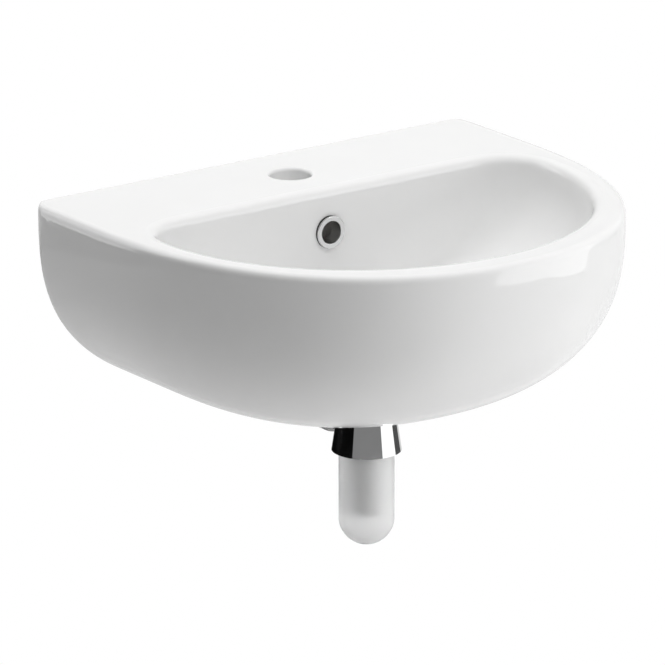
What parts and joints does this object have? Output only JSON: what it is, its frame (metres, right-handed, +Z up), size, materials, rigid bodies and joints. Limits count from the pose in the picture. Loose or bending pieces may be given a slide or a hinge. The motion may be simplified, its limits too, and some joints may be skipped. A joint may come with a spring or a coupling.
{
  "type": "cloakroom basin",
  "caption": "D-shaped wall-hung cloakroom basin in white glazed ceramic with a tap hole, overflow ring, push plug, chrome bottle trap and outlet pipe.",
  "frame": {"origin": "on the wall plane, midway between the two wall fixing holes", "axes": "+Z up, +Y out of the basin's back into the wall, so the room lies towards -Y, and +X to the right as seen from the room"},
  "size_m": [0.4498, 0.4235, 0.2978],
  "materials": {
    "ceramic": "glossy white glaze",
    "chrome": "polished chrome plate",
    "satin_cup": "frosted see-through moulding",
    "nylon": "off-white moulding",
    "rubber": "black moulded rubber",
    "brass": "turned brass",
    "spring_steel": "drawn wire"
  },
  "bodies": {
    "basin": {"basin_body": "ceramic", "overflow_ring": "chrome", "overflow_seal": "rubber", "waste_body": "chrome", "waste_flange_seal": "rubber", "waste_washer": "rubber", "waste_slip_washer": "nylon", "waste_back_nut": "brass", "click_cartridge": "brass", "click_spring": "spring_steel", "trap_union_nut": "chrome", "trap_inlet_washer": "rubber", "trap_body": "chrome", "trap_dip_tube": "nylon", "outlet_nut": "chrome", "outlet_seal": "rubber", "outlet_pipe": "chrome"},
    "plug": {"plug_cap": "chrome", "plug_seal": "rubber", "plug_stem": "brass"},
    "cup_seal": {"trap_cup_seal": "rubber"},
    "trap_cup": {"trap_cup": "satin_cup"},
    "wall_flange": {"wall_flange": "chrome"}
  },
  "joints": [
    {"name": "plug_press", "type": "slide", "parent": "basin", "child": "plug", "axis": [0, 0, 1], "range_m": [-0.008, 0], "stiffness_N_per_m": 400, "springref_m": 0.01, "deforming": ["click_spring"]},
    {"name": "cup_drop", "type": "slide", "parent": "basin", "child": "cup_seal", "axis": [0, 0, -1], "range_m": [0, 0.01]},
    {"name": "cup_unscrew", "type": "hinge", "parent": "cup_seal", "child": "trap_cup", "pos_m": [0, -0.167, -0.14], "axis": [0, 0, -1], "range_deg": [0, 720]},
    {"name": "flange_slide", "type": "slide", "parent": "basin", "child": "wall_flange", "axis": [0, -1, 0], "range_m": [0, 0.06]}
  ],
  "couplings": [
    {"joint": "cup_drop", "follows": "cup_unscrew", "m_per_rad": 0.00079577}
  ]
}
